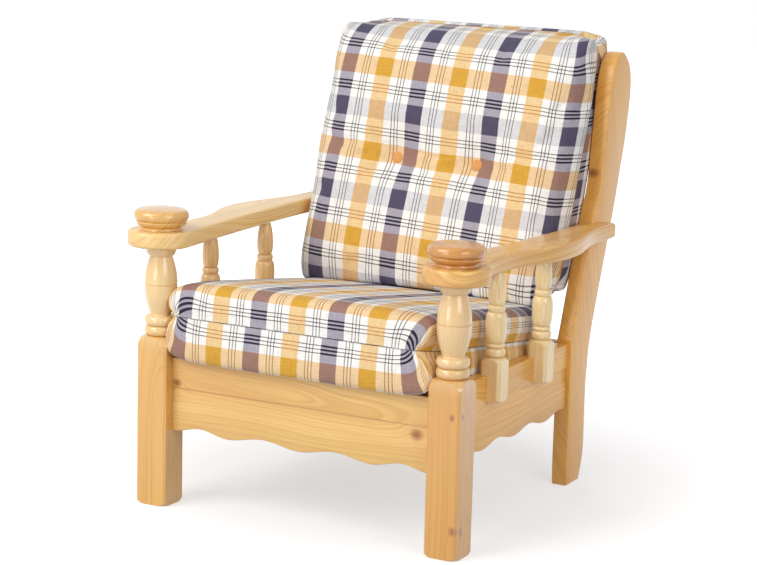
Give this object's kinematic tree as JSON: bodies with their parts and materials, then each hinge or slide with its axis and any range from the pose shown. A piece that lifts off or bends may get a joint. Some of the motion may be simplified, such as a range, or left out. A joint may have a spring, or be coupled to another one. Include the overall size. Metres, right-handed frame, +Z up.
{
  "type": "fireside chair",
  "caption": "Low wooden armchair with turned front posts, spindled arms, raked rear posts, scalloped rails and loose checked seat and back cushions.",
  "frame": {"origin": "on the floor, in the middle of the chair's width and depth", "axes": "+Z up, +X to the right seen from the front, +Y towards the chair's back"},
  "size_m": [0.782, 0.869, 0.9248],
  "materials": {
    "lacquered_pine": "satin lacquered honey pine",
    "pale_pine": "satin lacquered pale pine, turned",
    "unfinished_pine": "planed pine without lacquer",
    "zinc_screw": "zinc plated screws",
    "checked_cloth": "woven cotton, checked in navy, yellow, peach and grey on white",
    "peach_cloth": "woven cotton over buttons, peach"
  },
  "bodies": {
    "frame": {"arm_left": "lacquered_pine", "arm_right": "lacquered_pine", "arm_screw_left": "zinc_screw", "arm_screw_right": "zinc_screw", "back_slat_1": "lacquered_pine", "back_slat_2": "lacquered_pine", "back_slat_3": "lacquered_pine", "back_slat_4": "lacquered_pine", "back_slat_5": "lacquered_pine", "batten_screw_left_1": "zinc_screw", "batten_screw_left_2": "zinc_screw", "batten_screw_right_1": "zinc_screw", "batten_screw_right_2": "zinc_screw", "front_post_left": "lacquered_pine", "front_post_right": "lacquered_pine", "front_rail": "lacquered_pine", "lower_back_rail": "lacquered_pine", "post_cap_left": "lacquered_pine", "post_cap_right": "lacquered_pine", "rear_post_left": "lacquered_pine", "rear_post_right": "lacquered_pine", "rear_seat_rail": "lacquered_pine", "seat_batten_left": "unfinished_pine", "seat_batten_right": "unfinished_pine", "seat_slat_1": "unfinished_pine", "seat_slat_2": "unfinished_pine", "seat_slat_3": "unfinished_pine", "seat_slat_4": "unfinished_pine", "seat_slat_5": "unfinished_pine", "seat_slat_6": "unfinished_pine", "side_rail_left": "lacquered_pine", "side_rail_right": "lacquered_pine", "spindle_left_1": "pale_pine", "spindle_left_2": "pale_pine", "spindle_right_1": "pale_pine", "spindle_right_2": "pale_pine", "spindle_screw_left_1": "zinc_screw", "spindle_screw_left_2": "zinc_screw", "spindle_screw_right_1": "zinc_screw", "spindle_screw_right_2": "zinc_screw", "upper_back_rail": "lacquered_pine"},
    "seat_cushion_body": {"seat_cushion": "checked_cloth"},
    "back_cushion_body": {"back_cushion": "checked_cloth", "tuft_back_button_left": "peach_cloth", "tuft_back_button_right": "peach_cloth", "tuft_button_left": "peach_cloth", "tuft_button_right": "peach_cloth"}
  },
  "joints": [
    {"name": "seat_cushion_lift", "type": "slide", "parent": "frame", "child": "seat_cushion_body", "axis": [0, -0.989, 0.1478], "range_m": [0, 0.65]},
    {"name": "back_cushion_lift", "type": "slide", "parent": "frame", "child": "back_cushion_body", "axis": [0, 0.314, 0.9494], "range_m": [0, 0.75]}
  ]
}
